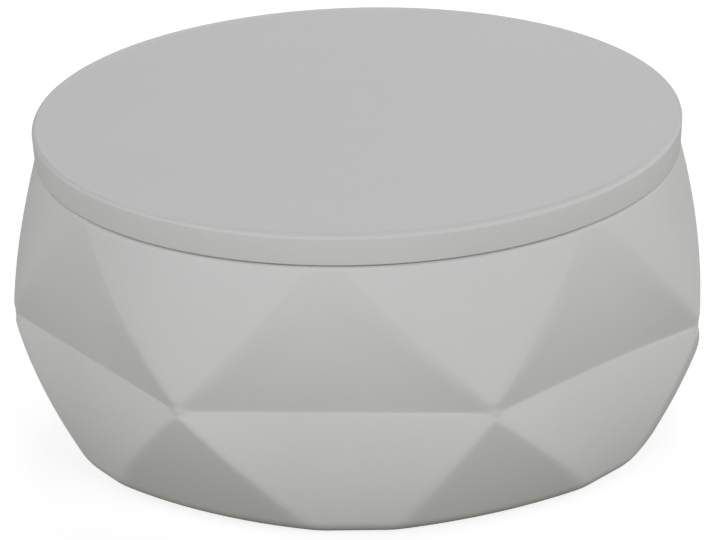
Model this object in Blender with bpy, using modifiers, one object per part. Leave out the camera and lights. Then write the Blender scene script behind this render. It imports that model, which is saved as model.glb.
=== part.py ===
"""A low round storage jar with a flat lid: seven dented diamonds round a moulded bowl. Metres, +Z up.

The origin is on the jar's axis, on the surface that it stands on. A dent faces -Y.
"""

import math

import bmesh
import bpy

# The driving dimensions
rim_diameter = 0.1192
rim_height = 0.0534
rim_edge_round = 0.0006
wall_thickness = 0.0051
wall_draft = 0.0004
mouth_edge_round = 0.0008
waist_proud = 0.0055
waist_height = 0.0253
foot_step_in = 0.0040
foot_round = 0.0019
floor_thickness = 0.0041
floor_round = 0.0090
lid_overhang = 0.0004
lid_thickness = 0.0058
lid_upper_round = 0.0008
lid_lower_round = 0.0003

# What touches in the real jar keeps this much clearance
clearance = 0.0003
overrun = 0.0020

# The seven dented diamonds: how far the bowl swells between its rim, waist and foot, how far the
# slanting ridges stand out at the foot, where two of them would meet, and how much they bend
diamond_count = 7
upper_swell = 0.0005
lower_swell = 0.0014
foot_point = 0.0013
corner_width_share = 0.04
ridge_reach_above_rim = 0.0010
ridge_reach_below_foot = 0.0029
upper_ridge_bend = 1.15
lower_ridge_bend = 1.3

# The lid's underside and its seal
ring_height = 0.0070
ring_wall = 0.0040
ring_tip_round = 0.0008
underside_hollow = 0.0014
seal_height = 0.0042
seal_band = 0.0012
seal_lip_reach = 0.0016
seal_lip_thickness = 0.0007
seal_lip_droop = 0.0006
groove_depth = 0.0014

# The pad under the jar
pad_margin = 0.0067
pad_stand = 0.0005
pad_recess = 0.0016
pad_edge_round = 0.0004

merge_distance = 0.00001
turned_steps = 84
round_steps = 4
columns_per_patch = 6
upper_rows = 11
lower_rows = 9

half_sector = math.pi / diamond_count
rim_radius = rim_diameter / 2
waist_radius = rim_radius + waist_proud
mouth_radius = rim_radius - wall_thickness
foot_height = pad_stand
wall_foot_height = foot_height + foot_round
wall_foot_radius = rim_radius - foot_step_in
pad_radius = wall_foot_radius - foot_round - pad_margin
recess_ceiling = foot_height + pad_recess
floor_height = recess_ceiling + floor_thickness
lid_radius = rim_radius + lid_overhang
lid_underside = rim_height + clearance
lid_top = lid_underside + lid_thickness
groove_radius = mouth_radius - seal_lip_reach - seal_band - 2 * clearance
ring_radius = groove_radius + groove_depth
ring_bottom = lid_underside - ring_height
groove_top = lid_underside - (ring_height - seal_height) / 2
groove_bottom = groove_top - seal_height


def new_collection(name):
    collection = bpy.data.collections.new(name)
    bpy.context.scene.collection.children.link(collection)
    return collection


def new_material(name, colour, roughness):
    material = bpy.data.materials.new(name)
    material.use_nodes = True
    shader = material.node_tree.nodes["Principled BSDF"]
    shader.inputs["Base Color"].default_value = (*colour, 1.0)
    shader.inputs["Roughness"].default_value = roughness
    shader.inputs["Metallic"].default_value = 0.0
    return material


def mesh_object(name, mesh, collection, material=None):
    made = bpy.data.objects.new(name, mesh)
    collection.objects.link(made)
    if material:
        mesh.materials.append(material)
    return made


def quarter(centre_radius, centre_height, size, start, end):
    """Points of a round of one quarter or less, from one angle to another in degrees."""
    points = []
    for step in range(round_steps + 1):
        angle = math.radians(start + (end - start) * step / round_steps)
        radius = centre_radius + size * math.cos(angle)
        height = centre_height + size * math.sin(angle)
        points.append((radius, height))
    return points


def turned(name, profile, collection, material=None):
    """A solid of revolution: the profile runs down its outer side and back along its inner one."""
    mesh = bpy.data.meshes.new(name)
    corners = [(radius, 0.0, height) for radius, height in profile]
    edges = [(i, i + 1) for i in range(len(corners) - 1)]
    if profile[0][0] > 0:
        edges.append((len(corners) - 1, 0))
    mesh.from_pydata(corners, edges, [])
    made = mesh_object(name, mesh, collection, material)
    screw = made.modifiers.new("Turn", "SCREW")
    screw.steps = turned_steps
    screw.render_steps = turned_steps
    screw.use_merge_vertices = True
    screw.merge_threshold = merge_distance
    screw.use_smooth_shade = True
    return made


def place_from_rim(height):
    """How far a height lies on the way from the waist up to the rim, and where the ridge is there."""
    share = (height - waist_height) / (rim_height - waist_height)
    ridge_share = (height - waist_height) / (rim_height + ridge_reach_above_rim - waist_height)
    return share, ridge_share**upper_ridge_bend


def place_from_foot(height):
    """How far a height lies on the way from the waist down to the foot, and where the ridge is there."""
    share = (waist_height - height) / (waist_height - wall_foot_height)
    ridge_share = (waist_height - height) / (waist_height + ridge_reach_below_foot - foot_height)
    return min(share, 1.0), ridge_share**lower_ridge_bend


def section(height, inset=0.0):
    """The jar's outline at one height: an arc over each waist corner and a flat across each dent."""
    if height >= waist_height:
        share, ridge_share = place_from_rim(height)
        end_radius, swell, point = rim_radius, upper_swell, 0.0
    else:
        share, ridge_share = place_from_foot(height)
        end_radius, swell, point = wall_foot_radius, lower_swell, foot_point
    belly = 4 * share * (1 - share)
    corner_radius = waist_radius * (1 - share) + end_radius * share + swell * belly - inset
    ridge_radius = corner_radius + point * share**2
    ridge_angle = half_sector * (corner_width_share + (1 - corner_width_share) * ridge_share)
    dent_radius = ridge_radius * math.cos(half_sector - ridge_angle)
    outline = []
    for sector in range(diamond_count):
        corner = (2 * sector + 1) * half_sector
        for column in range(columns_per_patch):
            across = 2 * column / columns_per_patch - 1
            radius = corner_radius + (ridge_radius - corner_radius) * across**2
            outline.append((corner + across * ridge_angle, radius))
        middle = corner + half_sector
        for column in range(columns_per_patch):
            across = 2 * column / columns_per_patch - 1
            turn = across * (half_sector - ridge_angle)
            outline.append((middle + turn, dent_radius / math.cos(turn)))
    return [(radius * math.sin(angle), -radius * math.cos(angle), height) for angle, radius in outline]


def lofted(name, rings, collection, material):
    """A closed skin through unlike outlines of equal point counts, flat on its first and its last."""
    made = bmesh.new()
    rows = [[made.verts.new(point) for point in ring] for ring in rings]
    for upper, lower in zip(rows, rows[1:]):
        for i, corner in enumerate(upper):
            previous = i - 1
            made.faces.new((upper[previous], lower[previous], lower[i], corner))
    made.faces.new(rows[0])
    made.faces.new(reversed(rows[-1]))
    bmesh.ops.recalc_face_normals(made, faces=made.faces)
    mesh = bpy.data.meshes.new(name)
    made.to_mesh(mesh)
    made.free()
    return mesh_object(name, mesh, collection, material)


def cut(solid, cutter):
    cutter.hide_render = True
    cutter.display_type = "WIRE"
    boolean = solid.modifiers.new(cutter.name, "BOOLEAN")
    boolean.operation = "DIFFERENCE"
    boolean.object = cutter
    return boolean


def jar_rings():
    """The outlines that the jar's skin runs through, from the top of the rim to the foot."""
    rings = []
    for inset, height in quarter(rim_edge_round, rim_height - rim_edge_round, rim_edge_round, 90, 0):
        rings.append(section(height, 2 * rim_edge_round - inset))
    top = rim_height - rim_edge_round
    for row in range(1, upper_rows + 1):
        rings.append(section(top + (waist_height - top) * row / upper_rows))
    for row in range(1, lower_rows):
        rings.append(section(waist_height + (wall_foot_height - waist_height) * row / lower_rows))
    for inset, height in quarter(foot_round, wall_foot_height, foot_round, 0, -90):
        rings.append(section(height, 2 * foot_round - inset))
    return rings


def mouth_profile():
    """The space inside the jar, from the rounded lip down the drafted wall to the floor."""
    lip_radius = mouth_radius + mouth_edge_round
    profile = [(0.0, rim_height + overrun), (lip_radius, rim_height + overrun)]
    profile += quarter(lip_radius, rim_height - mouth_edge_round, mouth_edge_round, 90, 180)
    floor_radius = mouth_radius - wall_draft - floor_round
    profile += quarter(floor_radius, floor_height + floor_round, floor_round, 0, -90)
    profile.append((0.0, floor_height))
    return profile


def lid_profile():
    """The lid from the middle of its top, over its edge, round the locating ring and back inside."""
    profile = [(0.0, lid_top)]
    profile += quarter(lid_radius - lid_upper_round, lid_top - lid_upper_round, lid_upper_round, 90, 0)
    profile += quarter(lid_radius - lid_lower_round, lid_underside + lid_lower_round, lid_lower_round, 0, -90)
    inner = ring_radius - ring_wall
    profile += [(ring_radius, lid_underside), (ring_radius, groove_top)]
    profile += [(groove_radius, groove_top), (groove_radius, groove_bottom), (ring_radius, groove_bottom)]
    profile += quarter(ring_radius - ring_tip_round, ring_bottom + ring_tip_round, ring_tip_round, 0, -90)
    profile.append((inner, ring_bottom))
    profile.append((inner, lid_underside + underside_hollow))
    profile.append((0.0, lid_underside + underside_hollow))
    return profile


def seal_profile():
    """The soft ring in the groove: a band with two lips that reach for the jar's wall."""
    inner = groove_radius + clearance
    band = inner + seal_band
    tip = mouth_radius - clearance
    top = groove_top - clearance
    bottom = groove_bottom + clearance
    lip_gap = (top - bottom) / 2
    profile = [(inner, top)]
    for lip in range(2):
        root = top - lip * lip_gap
        profile.append((band, root))
        profile.append((tip, root - seal_lip_droop))
        profile.append((tip, root - seal_lip_droop - seal_lip_thickness))
        profile.append((band, root - seal_lip_thickness))
    profile += [(band, bottom), (inner, bottom)]
    return profile


def pad_profile():
    profile = [(0.0, recess_ceiling - clearance), (pad_radius, recess_ceiling - clearance)]
    profile += quarter(pad_radius - pad_edge_round, pad_edge_round, pad_edge_round, 0, -90)
    profile.append((0.0, 0.0))
    return profile


def recess_profile():
    radius = pad_radius + clearance
    below = foot_height - overrun
    return [(0.0, recess_ceiling), (radius, recess_ceiling), (radius, below), (0.0, below)]


for item in list(bpy.data.objects):
    bpy.data.objects.remove(item, do_unlink=True)

jar = new_collection("storage_jar")
cutters = new_collection("cutters")

matt_grey = (0.485, 0.490, 0.478)
seal_white = (0.640, 0.645, 0.635)
pad_grey = (0.130, 0.130, 0.130)

body_material = new_material("jar_body_matt_grey", matt_grey, 0.62)
lid_material = new_material("lid_matt_grey", matt_grey, 0.60)
seal_material = new_material("seal_translucent_white", seal_white, 0.45)
pad_material = new_material("pad_dark_foam", pad_grey, 0.90)

jar_body = lofted("jar_body", jar_rings(), jar, body_material)
cut(jar_body, turned("mouth_cutter", mouth_profile(), cutters))
cut(jar_body, turned("pad_recess_cutter", recess_profile(), cutters))

lid = turned("lid", lid_profile(), jar, lid_material)
lid_seal = turned("lid_seal", seal_profile(), jar, seal_material)
base_pad = turned("base_pad", pad_profile(), jar, pad_material)
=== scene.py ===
import math
from collections import namedtuple

import bmesh
import bpy
from mathutils import Matrix, Vector, noise


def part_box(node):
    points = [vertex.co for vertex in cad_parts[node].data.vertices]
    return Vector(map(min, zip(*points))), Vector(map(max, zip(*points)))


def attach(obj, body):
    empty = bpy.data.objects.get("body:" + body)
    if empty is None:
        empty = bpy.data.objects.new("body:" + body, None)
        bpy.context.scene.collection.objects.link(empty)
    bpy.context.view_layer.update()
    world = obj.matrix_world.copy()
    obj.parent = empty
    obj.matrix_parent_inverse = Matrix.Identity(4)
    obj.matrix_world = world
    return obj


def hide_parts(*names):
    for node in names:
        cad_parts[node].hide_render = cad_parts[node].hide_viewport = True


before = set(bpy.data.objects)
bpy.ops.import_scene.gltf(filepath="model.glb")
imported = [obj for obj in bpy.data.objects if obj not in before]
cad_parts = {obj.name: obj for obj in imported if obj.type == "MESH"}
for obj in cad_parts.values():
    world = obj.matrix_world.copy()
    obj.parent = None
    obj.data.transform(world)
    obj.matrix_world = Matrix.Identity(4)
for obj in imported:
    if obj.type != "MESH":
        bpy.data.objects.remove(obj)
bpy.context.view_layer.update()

# The bowl is one heavy piece, cast in stone-filled resin and sprayed with a smooth matt light grey coat.
# Each of its seven sides is hollowed as a diamond: a flat dent above the waist and another below it,
# with a crisp crease between them and slanting ridges that were rubbed soft before the coat went on.
bowl_low, bowl_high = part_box("jar_body")
rim_height = bowl_high.z
rim_radius = 0.0596
rim_edge_round = 0.0006
lip_round = 0.0008
wall_thickness = 0.0051
wall_draft = 0.0004
floor_height = 0.0062
floor_round = 0.0090
waist_radius = 0.0654
waist_height = 0.0253
# The bowl's weight squashes its pad a little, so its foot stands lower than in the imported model
pad_squash = 0.0003
foot_height = bowl_low.z - pad_squash
foot_wall_radius = 0.0566
foot_wall_lean = 27.0
foot_curl_height = 0.0028
foot_wall_height = foot_height + foot_curl_height
full_turn = 2 * math.pi
quarter_turn = math.pi / 2
side_count = 7
half_side = full_turn / side_count / 2

# How far the corners swell between rim, waist and foot, how far the ridges stand out where two of them
# meet, how far past rim and foot that is, and how deep the dents are hollowed
upper_swell = 0.0005
lower_swell = 0.0009
foot_point = 0.0013
ridges_meet_above_rim = 0.0010
ridges_meet_below_foot = 0.0029
upper_hollow = 0.0006
lower_hollow = 0.0001

# How far a ridge is rubbed down on each side of its edge, how far the crease and the waist corners are
# softened, and the bend from which a ridge shows its full wear
ridge_softness = 0.0010
rim_softness = 0.0072
foot_softness = 0.0019
valley_softness = 0.00022
corner_softness = 0.0008
corner_reach = 0.0028
sharp_bend = 0.012

# The casting's small faults: its foot lies off centre, its waist sinks round the corner on the right,
# and its surfaces are uneven where they were rubbed down by hand
foot_off_centre = 0.00035
waist_dip = 0.0017
waist_dip_turn = math.radians(88.0)
waist_dip_narrowness = 12
ripple_depth = 0.00009
ripple_length = 0.024

# The master was cut by hand, so no two diamonds are alike. There is one cut for each waist corner, and
# the first is to the right of the front dent. Its shift is how far the corner lies from its even place,
# in metres. The four pitches are those of its ridges, and a pitch of 1 leads to the middle between two
# corners. The start is the share of the way to rim or foot at which the ridges leave the corner
HandCut = namedtuple("HandCut", "shift upper_left upper_right lower_left lower_right start")
hand_cuts = (
    HandCut(0.0007, 1.03, 0.885, 0.75, 1.09, 0.036),
    HandCut(0.0004, 1.10, 0.98, 0.74, 1.10, 0.036),
    HandCut(0.0003, 0.98, 1.00, 0.94, 0.98, 0.032),
    HandCut(-0.0004, 0.99, 1.02, 1.00, 0.95, 0.038),
    HandCut(0.0005, 0.97, 1.00, 0.97, 1.00, 0.030),
    HandCut(0.0002, 1.00, 0.94, 0.98, 0.96, 0.034),
    HandCut(0.0006, 1.045, 0.92, 1.04, 0.98, 0.022),
)

# The skin's columns and rows, crowded where it bends, and the least turn that a patch of columns takes
narrowest_turn = 0.003
patch_columns = 20
dent_columns = 26
upper_rows = 44
upper_crowding = 1.35
lower_rows = 36
lower_crowding = 1.3
floor_round_steps = 14
wall_steps = 5
curl_steps = 12
floor_ring_radii = (0.010, 0.022, 0.034, 0.045)

RingShape = namedtuple("RingShape", "corner_radius ridge_radius edges patches ridges reach hollow")


def arch(share):
    """An even arch over a share: 0 at both its ends and 1 half way."""
    return 4 * share * (1 - share)


def eased(share):
    """The same share with a gentle start and end."""
    return share * share * (3 - 2 * share)


def ring_shape(height):
    """The bowl at one height: its radius over the corners and at the ridges, and where each of them lies.

    The edges are the turns of the two ridges beside each waist corner. The patches are the same, kept a
    little apart where the ridges start. The ridges are (turn, how sharply the skin bends there).
    """
    if height >= waist_height:
        share = (height - waist_height) / (rim_height - waist_height)
        climb = (height - waist_height) / (rim_height + ridges_meet_above_rim - waist_height)
        end_radius, swell, point, hollow = rim_radius, upper_swell, 0.0, upper_hollow
        softness = ridge_softness + (rim_softness - ridge_softness) * share
        pitches = [(cut.upper_left, cut.upper_right) for cut in hand_cuts]
    else:
        share = min((waist_height - height) / (waist_height - foot_wall_height), 1.0)
        climb = (waist_height - height) / (waist_height + ridges_meet_below_foot - foot_height)
        end_radius, swell, point, hollow = foot_wall_radius, lower_swell, foot_point, lower_hollow
        softness = ridge_softness + (foot_softness - ridge_softness) * share
        pitches = [(cut.lower_left, cut.lower_right) for cut in hand_cuts]
    corner_radius = waist_radius * (1 - share) + end_radius * share + swell * arch(share)
    ridge_radius = corner_radius + point * share**2
    edges = []
    for side, (left_pitch, right_pitch) in enumerate(pitches):
        corner = (2 * side + 1) * half_side + hand_cuts[side].shift / waist_radius
        opened = half_side * (climb - hand_cuts[side].start)
        edges.append((corner - left_pitch * opened, corner + right_pitch * opened))
    patches = []
    ridges = []
    for side, (left, right) in enumerate(edges):
        rise = 4 * max(ridge_radius - corner_radius, 0.0) / max(right - left, narrowest_turn)
        middle = (left + right) / 2
        patches.append((min(left, middle - narrowest_turn / 2), max(right, middle + narrowest_turn / 2)))
        for ridge, far_edge in ((left, edges[side - 1][1]), (right, edges[(side + 1) % side_count][0])):
            dent_half = abs(math.remainder(ridge - far_edge, full_turn)) / 2
            place = ridge if right > left else middle
            ridges.append((place, ridge_radius * math.tan(dent_half) + rise))
    reach = softness / ridge_radius
    return RingShape(corner_radius, ridge_radius, edges, patches, ridges, reach, hollow * arch(share))


def skin_radius(angle, shape):
    """The skin's radius at an angle of a ring's shape, and how near a soft ridge that is, 0 to 1.

    The skin is the innermost of the curved patches over the corners and the flat dents between them.
    """
    radius = math.inf
    for side, (left, right) in enumerate(shape.edges):
        middle = (left + right) / 2
        patch_half = shape.patches[side][1] - middle
        turn = math.remainder(angle - middle, full_turn)
        if abs(turn) <= patch_half:
            across = turn / patch_half
            raised = (shape.ridge_radius - shape.corner_radius) * across**2
            radius = min(radius, shape.corner_radius + raised)
        dent_half = ((shape.edges[(side + 1) % side_count][0] - right) % full_turn) / 2
        turn = math.remainder(angle - right - dent_half, full_turn)
        if abs(turn) < quarter_turn:
            scooped = shape.hollow * max(1 - (turn / dent_half) ** 2, 0.0)
            radius = min(radius, shape.ridge_radius * math.cos(dent_half) / math.cos(turn) - scooped)
    rubbed = 0.0
    for ridge, bend in shape.ridges:
        near = 1 - abs(math.remainder(angle - ridge, full_turn)) / shape.reach
        if near > 0:
            radius -= bend * shape.reach * near**2 / 4
            rubbed = max(rubbed, near * min(1.0, bend / sharp_bend))
    return radius, rubbed


def column_turns(patches):
    """The angles of a ring's points, crowded towards the ridges, from the first corner's left one."""
    turns = []
    for side, (left, right) in enumerate(patches):
        dent = (patches[(side + 1) % side_count][0] - right) % full_turn
        for start, width, columns in ((left, right - left, patch_columns), (right, dent, dent_columns)):
            for column in range(columns):
                turns.append(start + width * (1 - math.cos(math.pi * column / columns)) / 2)
    return turns


def hand_ripple(place):
    """How far the rubbed surface lies under its ideal shape at a place."""
    return (noise.noise(place / ripple_length) / 2 - 0.5) * ripple_depth


def bowl_ring(height, inset=0.0):
    """Points of one ring round the bowl, each with its ridge wear."""
    here = ring_shape(height)
    above = ring_shape(min(height + valley_softness, rim_height))
    below = ring_shape(max(height - valley_softness, foot_height))
    far_below = ring_shape(height - corner_softness)
    far_above = ring_shape(height + corner_softness)
    sunk = min(max((waist_height - height) / (waist_height - foot_height), 0.0), 1.0)
    waist_share = 1 - sunk if sunk > 0 else (rim_height - height) / (rim_height - waist_height)
    ring = []
    for angle in column_turns(here.patches):
        radius, rubbed = skin_radius(angle, here)
        crisp = (skin_radius(angle, above)[0] + 2 * radius + skin_radius(angle, below)[0]) / 4
        corner = min(abs(math.remainder(angle - sum(patch) / 2, full_turn)) for patch in here.patches)
        near = 1 - math.hypot(corner * waist_radius, height - waist_height) / corner_reach
        if near > 0:
            soft = (skin_radius(angle, far_below)[0] + skin_radius(angle, far_above)[0]) / 2
            crisp = crisp * (1 - eased(near)) + soft * eased(near)
        radius = crisp - inset
        place = Vector((radius * math.sin(angle), -radius * math.cos(angle), height))
        place.xy *= 1 + hand_ripple(place) / radius
        place.x += foot_off_centre * eased(sunk)
        dip_share = max(math.cos(angle - waist_dip_turn), 0.0) ** waist_dip_narrowness
        place.z -= waist_dip * waist_share * dip_share
        ring.append((place, rubbed))
    return ring


def circle_in_line(beside, radius, height, wear=0.0):
    """Points of a plain circle, each in line with a point of the ring that it lies beside."""
    ring = []
    for place, _ in beside:
        outward = Vector((place.x, place.y, 0.0)).normalized()
        ring.append((outward * radius + Vector((0.0, 0.0, height)), wear))
    return ring


def arc(centre_radius, centre_height, size, start, end, steps=7):
    """Radius and height along a rounded edge, between two angles in degrees."""
    points = []
    for step in range(steps + 1):
        angle = math.radians(start + (end - start) * step / steps)
        points.append((centre_radius + size * math.cos(angle), centre_height + size * math.sin(angle)))
    return points


def heights_between(start, end, rows, crowding):
    """Heights from start to end, crowded towards start."""
    return [start + (end - start) * (row / rows) ** crowding for row in range(1, rows + 1)]


def joined_skin(name, rings, closed_round=False):
    """One closed skin through rings of equal column counts, with their wear kept as an attribute."""
    made = bmesh.new()
    worn = made.verts.layers.float.new("rub")
    rows = []
    for ring in rings:
        row = []
        for place, wear in ring:
            corner = made.verts.new(place)
            corner[worn] = wear
            row.append(corner)
        rows.append(row)
    pairs = list(zip(rows, rows[1:]))
    if closed_round:
        pairs.append((rows[-1], rows[0]))
    for upper, lower in pairs:
        for i, corner in enumerate(upper):
            made.faces.new((upper[i - 1], lower[i - 1], lower[i], corner))
    if not closed_round:
        for row in (rows[0], rows[-1]):
            middle = made.verts.new(Vector((0.0, 0.0, row[0].co.z)))
            for i, corner in enumerate(row):
                made.faces.new((row[i - 1], corner, middle))
    bmesh.ops.recalc_face_normals(made, faces=made.faces)
    mesh = bpy.data.meshes.new(name)
    made.to_mesh(mesh)
    made.free()
    mesh.shade_smooth()
    piece = bpy.data.objects.new(name, mesh)
    bpy.context.scene.collection.objects.link(piece)
    return piece


# Inside: the flat floor, its round, the wall, whose draft eases off towards the mouth, and the lip
mouth_radius = rim_radius - wall_thickness
lip_radius = mouth_radius + lip_round
floor_radius = mouth_radius - wall_draft - floor_round
wall_bottom = floor_height + floor_round
rim_ring = bowl_ring(rim_height, rim_edge_round)
bowl_rings = [circle_in_line(rim_ring, radius, floor_height) for radius in floor_ring_radii]
wall = arc(floor_radius, wall_bottom, floor_round, -90, 0, floor_round_steps)
lip = arc(lip_radius, rim_height - lip_round, lip_round, 180, 90)
lip_start_radius, lip_start = lip[0]
for step in range(1, wall_steps):
    share = step / wall_steps
    radius = wall[-1][0] + (lip_start_radius - wall[-1][0]) * share
    wall.append((radius, wall_bottom + (lip_start - wall_bottom) * share))
for radius, height in wall:
    bowl_rings.append(circle_in_line(rim_ring, radius, height))
for step, (radius, height) in enumerate(lip):
    lip_wear = math.sin(math.pi * step / len(lip))
    bowl_rings.append(circle_in_line(rim_ring, radius, height, lip_wear))

# Outside: over the rim's edge, down to the waist and on to where the foot starts to roll under
for across, height in arc(rim_edge_round, rim_height - rim_edge_round, rim_edge_round, 90, 0):
    bowl_rings.append(bowl_ring(height, 2 * rim_edge_round - across))
upper_heights = heights_between(waist_height, rim_height - rim_edge_round, upper_rows, upper_crowding)
lower_heights = heights_between(waist_height, foot_wall_height, lower_rows, lower_crowding)
for height in (*reversed(upper_heights[:-1]), waist_height, *lower_heights[:-1]):
    bowl_rings.append(bowl_ring(height))
lean = math.radians(foot_wall_lean)
curl_radius = foot_curl_height / (1 - math.sin(lean))
for across, height in arc(0.0, foot_height + curl_radius, curl_radius, -foot_wall_lean, -90, curl_steps):
    bowl_rings.append(bowl_ring(height, curl_radius * math.cos(lean) - across))

# Under it: the recess that the pad is glued into
pad_low, pad_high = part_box("base_pad")
pad_radius = pad_high.x
glue_gap = 0.0003
recess_radius = pad_radius + glue_gap
recess_ceiling = pad_high.z + glue_gap
foot_ring = bowl_rings[-1]
for radius, height in (
    (recess_radius + glue_gap, foot_height),
    (recess_radius, foot_height + glue_gap),
    (recess_radius, recess_ceiling),
    (recess_radius / 2, recess_ceiling),
):
    bowl_rings.append(circle_in_line(foot_ring, radius, height))
bowl = joined_skin("jar_bowl", bowl_rings)


def shader_of(name):
    """A new material with its tree and its main shader."""
    made = bpy.data.materials.new(name)
    made.use_nodes = True
    return made, made.node_tree, made.node_tree.nodes["Principled BSDF"]


def put(tree, kind, sources=(), **settings):
    """One node in a tree: sources are (socket, output), and capital settings are its sockets' values."""
    made = tree.nodes.new(kind)
    for key, value in settings.items():
        if key[0].isupper():
            made.inputs[key.replace("_", " ")].default_value = value
        else:
            setattr(made, key, value)
    for socket, output in sources:
        tree.links.new(output, made.inputs[socket])
    return made


def ramp(tree, source, stops):
    """A colour ramp fed by an output, with its stops as (place, colour)."""
    made = put(tree, "ShaderNodeValToRGB", [("Fac", source)])
    elements = made.color_ramp.elements
    elements[0].position, elements[1].position = stops[0][0], stops[-1][0]
    for place, _ in stops[1:-1]:
        elements.new(place)
    for element, (_, colour) in zip(elements, stops):
        element.color = (*colour, 1.0)
    return made.outputs["Color"]


def tone(colour, factor):
    """The same colour, darker or lighter."""
    return tuple(min(value * factor, 1.0) for value in colour)


white = (1.0, 1.0, 1.0)
thin_coat = 0.975
thick_coat = 1.02
grain_shade = 0.82
coat_gloss_drift = 0.05
rubbed_polish = 0.12


def sprayed_coat(name, coat_colour, rubbed_colour, roughness):
    """Matt spray coat: slow drifts of tone, a fine eggshell grain, and edges rubbed paler and smoother."""
    made, tree, shader = shader_of(name)
    place = put(tree, "ShaderNodeTexCoord").outputs["Object"]
    drift = put(tree, "ShaderNodeTexNoise", [("Vector", place)], Scale=26.0, Detail=3.0, Roughness=0.55)
    grain = put(tree, "ShaderNodeTexNoise", [("Vector", place)], Scale=1500.0, Detail=3.0, Roughness=0.6)
    spray = put(tree, "ShaderNodeTexVoronoi", [("Vector", place)], Scale=2600.0)
    thin, thick = tone(coat_colour, thin_coat), tone(coat_colour, thick_coat)
    drifted = ramp(tree, drift.outputs["Fac"], [(0.30, thin), (0.52, coat_colour), (0.75, thick)])
    grained = put(tree, "ShaderNodeMixRGB", [("Color1", drifted)], blend_type="MULTIPLY", Fac=0.10)
    grain_tone = ramp(tree, grain.outputs["Fac"], [(0.35, tone(white, grain_shade)), (0.65, white)])
    tree.links.new(grain_tone, grained.inputs["Color2"])
    rub = put(tree, "ShaderNodeAttribute", attribute_name="rub").outputs["Fac"]
    patchy = put(tree, "ShaderNodeTexNoise", [("Vector", place)], Scale=160.0, Detail=2.0).outputs["Fac"]
    worn = put(tree, "ShaderNodeMath", [(0, rub), (1, patchy)], operation="MULTIPLY").outputs["Value"]
    colour = put(tree, "ShaderNodeMixRGB", [("Fac", worn), ("Color1", grained.outputs["Color"])])
    colour.inputs["Color2"].default_value = (*rubbed_colour, 1.0)
    tree.links.new(colour.outputs["Color"], shader.inputs["Base Color"])
    gloss = put(tree, "ShaderNodeMapRange", [("Value", drift.outputs["Fac"])])
    gloss.inputs["To Min"].default_value = roughness - coat_gloss_drift
    gloss.inputs["To Max"].default_value = roughness + coat_gloss_drift
    polish = put(tree, "ShaderNodeMath", [(0, worn)], operation="MULTIPLY")
    polish.inputs[1].default_value = rubbed_polish
    rough_sources = [(0, gloss.outputs["Result"]), (1, polish.outputs["Value"])]
    rough = put(tree, "ShaderNodeMath", rough_sources, operation="SUBTRACT")
    tree.links.new(rough.outputs["Value"], shader.inputs["Roughness"])
    eggshell = put(tree, "ShaderNodeBump", [("Height", grain.outputs["Fac"])], Strength=0.10, Distance=0.0001)
    droplet_sources = [("Height", spray.outputs["Distance"]), ("Normal", eggshell.outputs["Normal"])]
    droplets = put(tree, "ShaderNodeBump", droplet_sources, Strength=0.06, Distance=0.00005)
    tree.links.new(droplets.outputs["Normal"], shader.inputs["Normal"])
    shader.inputs["Specular IOR Level"].default_value = 0.35
    return made


bowl_grey = (0.484, 0.492, 0.484)
bowl_rubbed_grey = (0.499, 0.507, 0.499)
bowl.data.materials.append(sprayed_coat("bowl_matt_coat", bowl_grey, bowl_rubbed_grey, roughness=0.62))
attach(bowl, "jar")
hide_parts("jar_body")

# The foot pad is a thin disc of dark foam rubber, die-cut and glued into the recess under the bowl.
# It stands half a millimetre proud, so that the jar doesn't scratch or slide on what it stands on.
pad_low_round = 0.0004
pad_top_round = 0.0002
pad_columns = 160
pad_margin = 0.0005
pad_top_radii = (0.012, 0.024, 0.036, pad_radius - pad_margin)
pad_low_radii = (0.045, 0.034, 0.022, 0.010)


def round_ring(radius, height, columns, wear=0.0):
    """Points of a plain circle, with the wear given to each."""
    ring = []
    for column in range(columns):
        angle = full_turn * column / columns
        ring.append((Vector((radius * math.sin(angle), -radius * math.cos(angle), height)), wear))
    return ring


pad_profile = [(radius, pad_high.z) for radius in pad_top_radii]
pad_profile += arc(pad_radius - pad_top_round, pad_high.z - pad_top_round, pad_top_round, 90, 0, steps=4)
pad_profile += arc(pad_radius - pad_low_round, pad_low.z + pad_low_round, pad_low_round, 0, -90, steps=6)
pad_profile += [(radius, pad_low.z) for radius in pad_low_radii]
pad = joined_skin("foam_pad", [round_ring(radius, height, pad_columns) for radius, height in pad_profile])

# The foam's own colour is its skin grey. The cell hollows are painted darker, as painted shade in the pores
foam_pore_shade_grey = (0.090, 0.090, 0.090)
foam_skin_grey = (0.150, 0.150, 0.150)
foam_dust_grey = (0.17, 0.17, 0.165, 1.0)
foam, foam_tree, foam_shader = shader_of("dark_foam")
foam_place = put(foam_tree, "ShaderNodeTexCoord").outputs["Object"]
cells = put(foam_tree, "ShaderNodeTexVoronoi", [("Vector", foam_place)], Scale=1700.0).outputs["Distance"]
dust = put(foam_tree, "ShaderNodeTexNoise", [("Vector", foam_place)], Scale=60.0, Detail=4.0).outputs["Fac"]
foam_tone = ramp(foam_tree, cells, [(0.0, foam_pore_shade_grey), (0.8, foam_skin_grey)])
dusty = put(foam_tree, "ShaderNodeMixRGB", [("Color1", foam_tone), ("Fac", dust)], Color2=foam_dust_grey)
foam_tree.links.new(dusty.outputs["Color"], foam_shader.inputs["Base Color"])
foam_bump = put(foam_tree, "ShaderNodeBump", [("Height", cells)], Strength=0.5, Distance=0.0002)
foam_tree.links.new(foam_bump.outputs["Normal"], foam_shader.inputs["Normal"])
foam_shader.inputs["Roughness"].default_value = 0.9
pad.data.materials.append(foam)
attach(pad, "jar")
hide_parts("base_pad")

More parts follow.
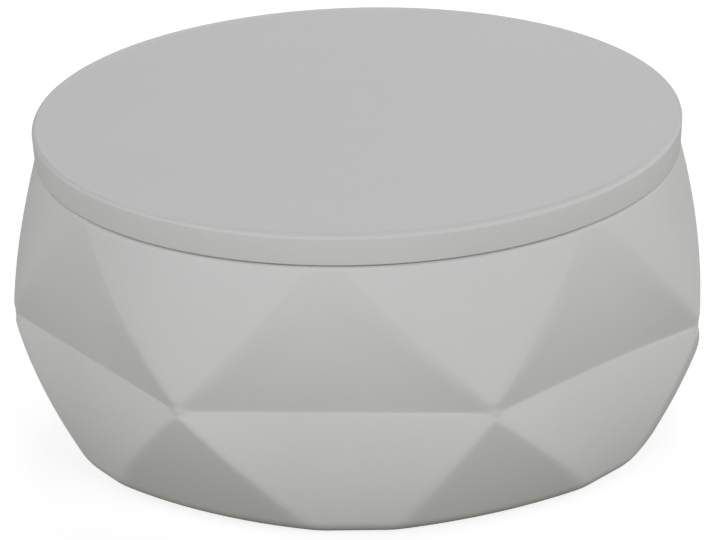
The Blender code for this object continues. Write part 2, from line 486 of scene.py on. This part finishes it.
# The lid is a flat disc of the same resin and coat, with no knob: it is lifted by its edge, which stands
# a little over the rim. The ring cast under it drops into the mouth and carries the seal in its groove.
lid_low, lid_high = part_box("lid")
seal_low, seal_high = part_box("lid_seal")
lid_top = lid_high.z
lid_radius = lid_high.x
lid_thickness = 0.0058
lid_upper_round = 0.0008
lid_lower_round = 0.0003
lid_draft = 0.00028
lid_underside = lid_top - lid_thickness
ring_bottom = lid_low.z
ring_wall = 0.0040
tip_round = 0.0008
root_round = 0.0006
underside_hollow = 0.0014
hollow_height = lid_underside + underside_hollow
fit_gap = 0.0003
groove_depth = 0.0014
groove_top = seal_high.z + fit_gap
groove_bottom = seal_low.z - fit_gap
seal_band = 0.0012
seal_lip_reach = 0.0016
groove_radius = mouth_radius - seal_lip_reach - seal_band - 2 * fit_gap
ring_radius = groove_radius + groove_depth
ring_inside = ring_radius - ring_wall
edge_wear = 0.4
ring_tip_wear = 0.2
lid_columns = 288
lid_top_radii = (0.006, 0.014, 0.022, 0.030, 0.038, 0.046, 0.053, 0.0575)
lid_hollow_radii = (0.040, 0.030, 0.020, 0.010)


def with_wear(points, wear=0.0):
    """Profile points with the wear given to each."""
    return [(radius, height, wear) for radius, height in points]


lid_profile = with_wear([(radius, lid_top) for radius in lid_top_radii])
top_edge = arc(lid_radius - lid_upper_round, lid_top - lid_upper_round, lid_upper_round, 90, 0, steps=9)
for step, (radius, height) in enumerate(top_edge):
    lid_profile.append((radius, height, edge_wear * math.sin(math.pi * (step + 0.5) / len(top_edge))))
low_edge_radius = lid_radius - lid_draft - lid_lower_round
low_edge = arc(low_edge_radius, lid_underside + lid_lower_round, lid_lower_round, 0, -90, steps=5)
lid_profile += with_wear(low_edge, edge_wear)
outer_root = arc(ring_radius + root_round, lid_underside - root_round, root_round, 90, 180, steps=4)
lid_profile += with_wear(outer_root)
lid_profile += with_wear([(ring_radius, groove_top), (groove_radius, groove_top)])
lid_profile += with_wear([(groove_radius, groove_bottom), (ring_radius, groove_bottom)])
outer_tip = arc(ring_radius - tip_round, ring_bottom + tip_round, tip_round, 0, -90, steps=6)
inner_tip = arc(ring_inside + tip_round, ring_bottom + tip_round, tip_round, -90, -180, steps=6)
lid_profile += with_wear(outer_tip + inner_tip, ring_tip_wear)
inner_root = arc(ring_inside - root_round, hollow_height - root_round, root_round, 0, 90, steps=4)
lid_profile += with_wear(inner_root)
lid_profile += with_wear([(radius, hollow_height) for radius in lid_hollow_radii])
lid_rings = [round_ring(radius, height, lid_columns, wear) for radius, height, wear in lid_profile]
for ring in lid_rings[:len(lid_top_radii) + 1]:
    for place, _ in ring:
        place.z += hand_ripple(place)
lid = joined_skin("flat_lid", lid_rings)

# The lid's coat is the bowl's, but its grey is a touch darker and warmer: painted light, set for how the
# light falls on the lid's top
lid_grey = (0.481, 0.488, 0.476)
lid_rubbed_grey = (0.496, 0.503, 0.491)
lid.data.materials.append(sprayed_coat("lid_matt_coat", lid_grey, lid_rubbed_grey, roughness=0.60))
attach(lid, "lid")
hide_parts("lid")

# The seal is a milky silicone ring, moulded in one piece and stretched into the groove of the lid's ring.
# Two thin lips reach out and down from its band, and rub along the mouth's wall as the lid goes in.
lip_thickness = 0.0007
lip_droop = 0.0006
lip_round_off = lip_thickness / 2
lip_reach_radius = seal_high.x
seal_inside = groove_radius + fit_gap
band_outside = seal_inside + seal_band
band_round = 0.0002
upper_lip = seal_high.z
lower_lip = (seal_high.z + seal_low.z) / 2
seal_profile = [(seal_inside, seal_low.z + band_round), (seal_inside, seal_high.z - band_round)]
seal_profile += arc(band_outside - band_round, seal_high.z - band_round, band_round, 90, 60, steps=2)
for lip_root in (upper_lip, lower_lip):
    if lip_root < upper_lip:
        seal_profile.append((band_outside, lip_root))
    tip_height = lip_root - lip_droop - lip_round_off
    seal_profile += arc(lip_reach_radius - lip_round_off, tip_height, lip_round_off, 70, -90, steps=6)
    seal_profile.append((band_outside, lip_root - lip_thickness))
seal_profile.append((band_outside, seal_low.z + band_round))
seal_profile.append((band_outside - band_round, seal_low.z))
seal_profile.append((seal_inside + band_round, seal_low.z))
seal_rings = [round_ring(radius, height, lid_columns) for radius, height in seal_profile]
seal = joined_skin("seal_ring", seal_rings, closed_round=True)

silicone_grey = (0.60, 0.61, 0.60)
silicone_white = (0.68, 0.685, 0.675)
silicone, silicone_tree, silicone_shader = shader_of("milky_silicone")
silicone_place = put(silicone_tree, "ShaderNodeTexCoord").outputs["Object"]
cloud = put(silicone_tree, "ShaderNodeTexNoise", [("Vector", silicone_place)], Scale=90.0, Detail=3.0)
cloud_depth = cloud.outputs["Fac"]
silicone_tone = ramp(silicone_tree, cloud_depth, [(0.3, silicone_grey), (0.7, silicone_white)])
silicone_tree.links.new(silicone_tone, silicone_shader.inputs["Base Color"])
silicone_bump = put(silicone_tree, "ShaderNodeBump", [("Height", cloud_depth)], Strength=0.1, Distance=0.0002)
silicone_tree.links.new(silicone_bump.outputs["Normal"], silicone_shader.inputs["Normal"])
silicone_shader.inputs["Roughness"].default_value = 0.42
silicone_shader.inputs["Subsurface Weight"].default_value = 0.3
silicone_shader.inputs["Subsurface Radius"].default_value = (0.0015, 0.0015, 0.0015)
seal.data.materials.append(silicone)
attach(seal, "lid")
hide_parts("lid_seal")

# The studio: a pale paper table top and, behind it, nothing but white. The paper keeps the jar's soft
# shadow, and throws only a little light back under the bowl.
table_half = 1.0
table_drop = 0.00003
paper_lit = (0.175, 0.165, 0.120, 1.0)
paper_seen = (0.29, 0.29, 0.29, 1.0)
paper_glow = (0.79, 0.79, 0.79, 1.0)
table_mesh = bpy.data.meshes.new("table_top")
table_cut = bmesh.new()
bmesh.ops.create_grid(table_cut, x_segments=1, y_segments=1, size=table_half)
table_cut.to_mesh(table_mesh)
table_cut.free()
table = bpy.data.objects.new("table_top", table_mesh)
table.location.z = -table_drop
bpy.context.scene.collection.objects.link(table)
paper, paper_tree, paper_shader = shader_of("pale_paper")
seen = put(paper_tree, "ShaderNodeLightPath").outputs["Is Camera Ray"]
paper_colour = put(paper_tree, "ShaderNodeMixRGB", [("Fac", seen)], Color1=paper_lit, Color2=paper_seen)
paper_tree.links.new(paper_colour.outputs["Color"], paper_shader.inputs["Base Color"])
paper_shader.inputs["Roughness"].default_value = 0.95
paper_shader.inputs["Specular IOR Level"].default_value = 0.0
whiter = put(paper_tree, "ShaderNodeEmission", [("Strength", seen)], Color=paper_glow)
both_sources = [(0, paper_shader.outputs["BSDF"]), (1, whiter.outputs["Emission"])]
both = put(paper_tree, "ShaderNodeAddShader", both_sources)
paper_tree.links.new(both.outputs["Shader"], paper_tree.nodes["Material Output"].inputs["Surface"])
table_mesh.materials.append(paper)

# The room is white where the camera sees it and sheds no light of its own
room_light = 0.0
seen_white = 1.0
world = bpy.data.worlds.new("white_studio")
bpy.context.scene.world = world
world.use_nodes = True
room = world.node_tree
room.nodes["Background"].inputs["Color"].default_value = (*white, 1.0)
room_seen = put(room, "ShaderNodeLightPath").outputs["Is Camera Ray"]
level = put(room, "ShaderNodeMapRange", [("Value", room_seen)], To_Min=room_light, To_Max=seen_white)
room.links.new(level.outputs["Result"], room.nodes["Background"].inputs["Strength"])

# Soft lamps face the jar from all round it. An azimuth of 0 is in front of the dent that faces -Y, and 90
# is to the right
jar_middle = Vector((0.0, 0.0, 0.030))
lamp_distance = 1.2
lamp_width = 0.7
lamp_tall = 0.6
lamp_colour = (1.0, 1.0, 1.012)
for name, azimuth, elevation, watts in (
    ("front_left_softbox", -25.0, 18.0, 7.0),
    ("front_right_softbox", 45.0, 21.0, 9.5),
    ("right_softbox", 115.0, 18.0, 6.8),
    ("left_softbox", -60.0, 18.0, 3.1),
    ("far_left_softbox", -100.0, 18.0, 4.5),
    ("back_softbox", 180.0, 40.0, 7.1),
):
    turn = math.radians(azimuth)
    rise = math.radians(elevation)
    away = Vector((math.sin(turn) * math.cos(rise), -math.cos(turn) * math.cos(rise), math.sin(rise)))
    lamp = bpy.data.lights.new(name, "AREA")
    lamp.shape = "RECTANGLE"
    lamp.size = lamp_width
    lamp.size_y = lamp_tall
    lamp.energy = watts
    lamp.color = lamp_colour
    softbox = bpy.data.objects.new(name, lamp)
    softbox.location = jar_middle + away * lamp_distance
    softbox.rotation_euler = away.to_track_quat("Z", "Y").to_euler()
    bpy.context.scene.collection.objects.link(softbox)

# The camera stands a little to the right of the front dent and looks down on the lid through a long lens
camera_place = Vector((0.08834, -0.88432, 0.39301))
camera_aim = Vector((-0.00058, -0.00006, 0.02845))
camera_roll = math.radians(-1.65)
camera_data = bpy.data.cameras.new("camera")
camera_data.sensor_width = 36.0
camera_data.lens = 258.4
camera = bpy.data.objects.new("camera", camera_data)
ahead = (camera_aim - camera_place).normalized()
level_right = ahead.cross(Vector((0.0, 0.0, 1.0))).normalized()
level_up = level_right.cross(ahead)
right = level_right * math.cos(camera_roll) + level_up * math.sin(camera_roll)
up = level_up * math.cos(camera_roll) - level_right * math.sin(camera_roll)
camera.matrix_world = Matrix.Translation(camera_place) @ Matrix((right, up, -ahead)).transposed().to_4x4()
bpy.context.scene.collection.objects.link(camera)
bpy.context.scene.camera = camera
bpy.context.scene.view_settings.view_transform = "Standard"
